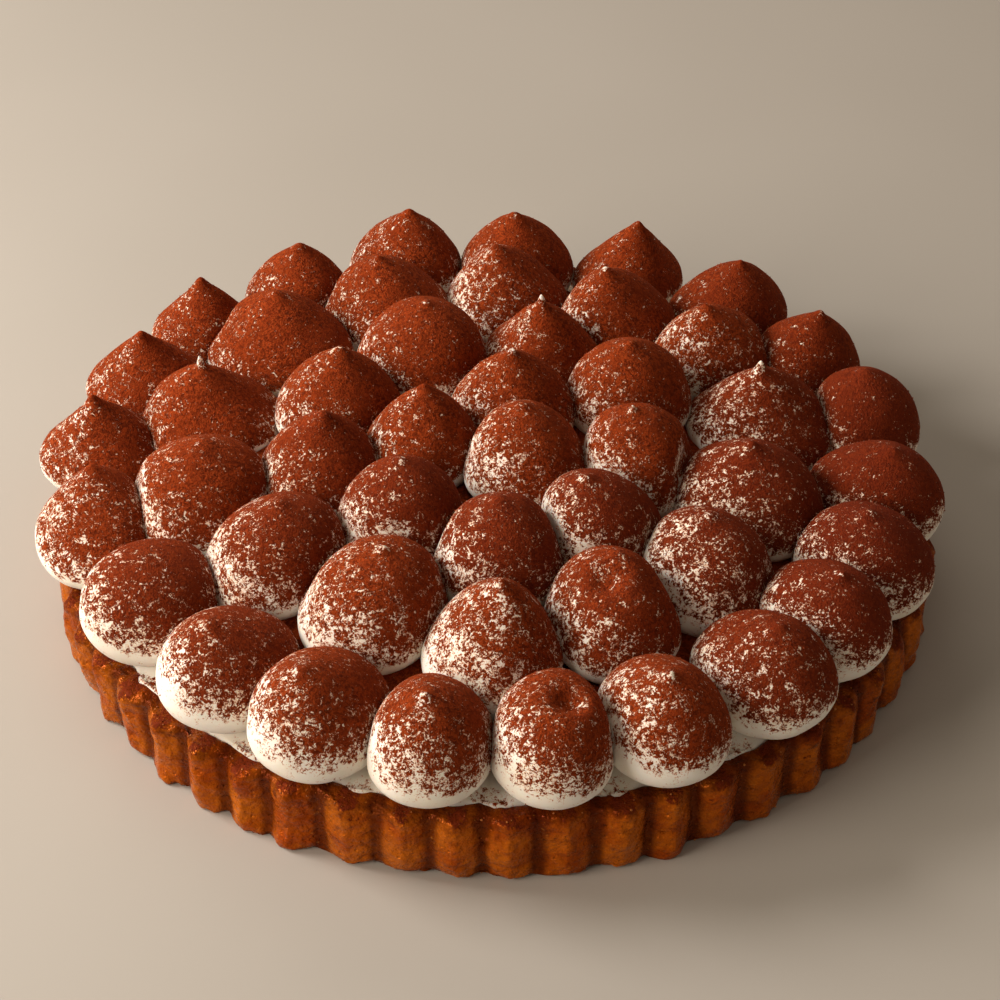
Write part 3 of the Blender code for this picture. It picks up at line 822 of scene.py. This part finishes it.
def make_crust_look():
    """Baked pastry, browned darkest along its rim, with painted shade darkening its grooves and cocoa on it.
    """
    look = Look("shortcrust_look")
    thick, film, cocoa = cocoa_mask(look)
    cocoa = look.blend(0.7, cocoa, COCOA_DARK)
    groove, level = look.layer("groove"), look.layer("level")
    patch = look.noise(BAKE_SIZE, 3.0, 0.55)
    fleck = look.noise(FLECK_SIZE, 3.0, 0.6)
    baked = look.blend(look.span(patch, *BAKE), GOLDEN, ORANGE)
    baked = look.blend(look.span(fleck, *FLECK), baked, CARAMEL_AND_GROOVE_SHADE)
    # painted shade: the wall darkens towards the bottom of each groove
    baked = look.blend(look.span(groove, *SHADED_GROOVE), baked, CARAMEL_AND_GROOVE_SHADE)
    ragged = look.maths("MULTIPLY", look.maths("SUBTRACT", fleck, 0.5), BROWN_RIM_RAGGED)
    baked = look.blend(look.span(look.maths("ADD", level, ragged), *BROWN_RIM), baked, CARAMEL_AND_GROOVE_SHADE)
    pale = look.span(look.noise(PALE_CRUMB_SIZE, 2.0), *PALE_CRUMBS)
    baked = look.blend(pale, baked, PALE_CRUMB)
    colour = look.blend(thick, look.blend(look.maths("MULTIPLY", film, 0.5), baked, COCOA_RED), cocoa)
    pores = look.maths("MULTIPLY", look.span(look.cells(PORE_SPACING), *PORE), PORE_DEPTH)
    crumb = look.maths("ADD", look.noise(CRUMB_BUMP_SIZE, 3.0, 0.55), pores)
    relief = look.bump(crumb, CRUMB_BUMP)
    powder = look.maths("MULTIPLY", thick, look.noise(POWDER_SIZE, 2.0, 0.6))
    fine = look.bump(powder, POWDER_BUMP_ON_CRUST, relief)
    gloss = look.span(look.noise(GLOSS_SIZE, 2.0), *GLOSS)
    roughness = look.maths("ADD", gloss, look.maths("MULTIPLY", thick, 0.5))
    glaze = look.span(thick, 0.0, 1.0, CRUST_GLAZE, 0.0)
    return look.finish(Base_Color=colour, Roughness=roughness, Normal=fine, Metallic=glaze,
                       Specular_IOR_Level=0.06)


def make_grain_look(name, dark, pale, size, roughness):
    """Loose bits of two colours."""
    look = Look(name)
    colour = look.blend(look.span(look.noise(size), 0.35, 0.65), dark, pale)
    relief = look.bump(look.noise(size / 4.0, 2.0), 0.08 * MM)
    return look.finish(Base_Color=colour, Roughness=roughness, Normal=relief)


# ---- loose grains and crumbs ----
def loose_chance(cover):
    """How likely a loose grain is where cocoa covers a share of the surface: most likely at 0.6."""
    return cover * (1.2 - cover)


def pick_places(grids, weights, count):
    """Points and normals drawn at random over several grids, where weights are highest."""
    chances, counts = [], []
    for grid, weight in zip(grids, weights):
        step_down = np.linalg.norm(grid[2:-1] - grid[1:-2], axis=-1)
        step_round = np.linalg.norm(np.roll(grid, -1, axis=1) - grid, axis=-1)[1:-2]
        chances.append((step_down * step_round * weight[1:-2]).ravel())
        counts.append(chances[-1].size)
    chance = np.concatenate(chances)
    picks = random_numbers.choice(chance.size, count, p=chance / chance.sum())
    starts = np.cumsum([0] + counts)
    points, normals = [], []
    for grid, first, last in zip(grids, starts, starts[1:]):
        own = picks[(picks >= first) & (picks < last)] - first
        row, column = own // grid.shape[1] + 1, own % grid.shape[1]
        after = (column + 1) % grid.shape[1]
        down, round_it = random_numbers.random((2, own.size, 1))
        near = grid[row, column] * (1.0 - round_it) + grid[row, after] * round_it
        far = grid[row + 1, column] * (1.0 - round_it) + grid[row + 1, after] * round_it
        points.append(near * (1.0 - down) + far * down)
        normals.append(grid_normals(grid)[row, column])
    return np.concatenate(points), np.concatenate(normals)


def add_bits(name, points, normals, radii, material):
    """Small uneven lumps at points, sunk a little into what they lie on, all in one piece."""
    golden = (1.0 + math.sqrt(5.0)) / 2.0
    shell = np.array([corner for a, b in itertools.product((-1.0, 1.0), (-golden, golden))
                      for corner in ((0.0, a, b), (a, b, 0.0), (b, 0.0, a))])
    shell /= np.linalg.norm(shell[0])
    edge = min(np.linalg.norm(shell[0] - other) for other in shell[1:]) * 1.01
    turned = []
    for a, b, c in itertools.combinations(range(12), 3):
        sides = (shell[a] - shell[b], shell[b] - shell[c], shell[c] - shell[a])
        if max(np.linalg.norm(side) for side in sides) < edge:
            outward = np.dot(np.cross(shell[b] - shell[a], shell[c] - shell[a]), shell[a]) > 0.0
            turned.append((a, b, c) if outward else (a, c, b))
    count = len(points)
    turns = np.linalg.qr(random_numbers.normal(size=(count, 3, 3)))[0]
    turns *= np.sign(np.linalg.det(turns))[:, None, None]
    stretch = random_numbers.uniform(*BIT_STRETCH, (count, 1, 3))
    uneven = random_numbers.uniform(*BIT_UNEVENNESS, (count, 12, 1))
    lumps = (shell[None] * uneven * stretch) @ turns * radii[:, None, None]
    places = (points + normals * (BIT_RAISED * radii)[:, None])[:, None, :] + lumps
    places = np.clip(places, np.array(cad_box[0]), np.array(cad_box[1]))
    faces = (np.array(turned)[None] + 12 * np.arange(count)[:, None, None]).reshape(-1, 3)
    return add_piece(name, places.reshape(-1, 3), faces.tolist(), material)


# ---- the tart ----
def build_tart():
    """Every piece of the tart, with the cocoa over it."""
    dollop_nodes = sorted(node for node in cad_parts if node.startswith("dollop"))
    shapes = [shape_dollop(node, number) for number, node in enumerate(dollop_nodes)]
    dollops = [grid for grid, _ in shapes]
    feet = []
    for node in dollop_nodes:
        low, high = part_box(node)
        feet.append(np.array(((low.x + high.x) / 2.0, (low.y + high.y) / 2.0)))
    crust, groove, level = shape_crust()
    filling = shape_filling(feet)

    points, faces = [], []
    for grid in dollops:
        faces += [[corner + len(points) for corner in face] for face in grid_faces(*grid.shape[:2])]
        points += unroll(grid).tolist()
    cover = BVHTree.FromPolygons(points, faces)

    dusted = make_cream_look("dusted_cream_look")
    dollop_dust = []
    for number, (node, (grid, tip_cover)) in enumerate(zip(dollop_nodes, shapes)):
        normals = grid_normals(grid)
        shown = open_to_dust(grid, normals, cover, DUST_FROM)
        bare_facing = max(BARE_FACING + BARE_SLOPE * feet[number][1], BARE_LEAST)
        bare_facing += BARE_EXTRAS.get(node, 0.0)
        dust = dust_cover(grid, normals, shown, bare_facing, 300 + number) * tip_cover
        dollop_dust.append(dust)
        maroon = np.full(dust.shape, MAROON.get(node, 0.0))
        add_grid(node, grid, dusted, {"dust": deviations(dust), "maroon": maroon})

    normals = grid_normals(crust)
    crust_shown = open_to_dust(crust, normals, cover, UPWARDS)
    stray = CAP_STRAY * lattice_noise(crust, CAP_STRAY_SIZE, 403)
    caps = 1.0 - smooth_step(groove + stray, CAP_FROM, CAP_TO)
    crust_dust = dust_cover(crust, normals, 1.0, CRUST_FACING, 401)
    crust_dust = crust_dust * smooth_step(normals[..., 2], *CAP_UPTURNED) * caps
    sheltered = CAP_SHELTERED + (1.0 - CAP_SHELTERED) * crust_shown
    crust_dust = crust_dust * (crust[..., 2] > CAP_LEAST_HEIGHT) * sheltered
    add_grid("crust", crust, make_crust_look(),
             {"dust": deviations(crust_dust), "groove": groove, "level": level})

    normals = grid_normals(filling)
    filling_shown = open_to_dust(filling, normals, cover, UPWARDS)
    inward = 1.0 - smooth_step(np.linalg.norm(filling[..., :2], axis=-1), INNER_TO, OUTER_FROM)
    filling_shown = np.maximum(filling_shown, inward)
    in_gap = smooth_step(nearest_foot(filling[..., :2], feet), GAP_FROM + 0.5 * MM, GAP_TO - 1.5 * MM)
    # cocoa heaped in the gaps, and painted shade as thicker cocoa on the filling's right side
    heaped_and_shaded = np.maximum(smooth_step(filling[..., 0], *HEAPED_AND_SHADED_RIGHT), in_gap)
    filling_dust = dust_cover(filling, normals, 1.0, FILLING_FACING + FILLING_HEAPED_AND_SHADED * heaped_and_shaded, 402)
    filling_dust = np.maximum(filling_dust * filling_shown, INNER_COVER * inward)
    add_grid("filling", filling, make_cream_look("filling_look"),
             {"dust": deviations(filling_dust)})

    grids = [*dollops, crust, filling]
    weights = [GRAINS_ANYWHERE + loose_chance(dust) for dust in dollop_dust]
    weights += [loose_chance(crust_dust), loose_chance(filling_dust)]
    places, ways = pick_places(grids, weights, GRAINS)
    radii = random_numbers.uniform(*GRAIN_RADII, GRAINS) * MM
    grains = make_grain_look("cocoa_grain_look", COCOA_DARK, COCOA_PALE, size=1.5 * MM, roughness=0.9)
    add_bits("cocoa_grains", places, ways, radii, grains)

    at_foot = smooth_step(1.0 - level, *CRUMBS_AT_FOOT) * (crust[..., 2] > 0.2 * MM)
    at_edges = smooth_step(level, *CRUMBS_ON_RIM) + 2.0 * at_foot
    at_edges = at_edges * (np.linalg.norm(crust[..., :2], axis=-1) > FILLING_RADIUS + 3.0 * MM)
    places, ways = pick_places([crust], [at_edges], CRUMBS)
    radii = random_numbers.uniform(*CRUMB_RADII, CRUMBS) * MM
    crumbs = make_grain_look("crumb_look", LOOSE_CRUMB_DARK, LOOSE_CRUMB_PALE, size=2.5 * MM, roughness=0.4)
    places[:, 2] = np.maximum(places[:, 2], radii * 1.1)
    add_bits("crust_crumbs", places, ways, radii, crumbs)


# ---- the studio ----
def aim(item, place, target):
    """Puts a camera or light at a place, turned towards a target."""
    item.location = place
    item.rotation_mode = "QUATERNION"
    item.rotation_quaternion = (Vector(target) - Vector(place)).to_track_quat("-Z", "Y")


def add_light(name, place, target, size, power, colour):
    """A round soft light."""
    lamp = bpy.data.lights.new(name, "AREA")
    lamp.shape = "DISK"
    lamp.size = size
    lamp.energy = power
    lamp.color = colour
    light = bpy.data.objects.new(name, lamp)
    bpy.context.scene.collection.objects.link(light)
    light.visible_camera = False
    aim(light, place, target)


def build_studio():
    """The photograph's camera, a pale floor and soft light."""
    scene = bpy.context.scene
    camera = bpy.data.cameras.new("photo_camera")
    camera.lens = LENS
    camera.sensor_width = SENSOR
    view = bpy.data.objects.new("photo_camera", camera)
    scene.collection.objects.link(view)
    aim(view, CAMERA_PLACE, CAMERA_PLACE + CAMERA_AIM)
    scene.camera = view
    scene.view_settings.view_transform = "Standard"

    mesh = bpy.data.meshes.new("floor")
    corners = [(x * FLOOR_REACH, y * FLOOR_REACH, 0.0) for x, y in ((-1, -1), (1, -1), (1, 1), (-1, 1))]
    mesh.from_pydata(corners, [], [(0, 1, 2, 3)])
    floor = bpy.data.objects.new("floor", mesh)
    scene.collection.objects.link(floor)
    look = Look("floor_look")
    colour = look.blend(look.span(look.noise(0.4, 3.0), 0.3, 0.7), FLOOR_DARK, FLOOR_PALE)
    mesh.materials.append(look.finish(Base_Color=colour, Roughness=0.8))

    world = bpy.data.worlds.new("studio")
    world.use_nodes = True
    background = world.node_tree.nodes["Background"]
    background.inputs["Color"].default_value = WORLD_COLOUR
    background.inputs["Strength"].default_value = WORLD_STRENGTH
    scene.world = world

    for name, place, size, power, colour in LIGHTS:
        add_light(name, place, LIGHTS_AIM, size, power, colour)


build_tart()
build_studio()
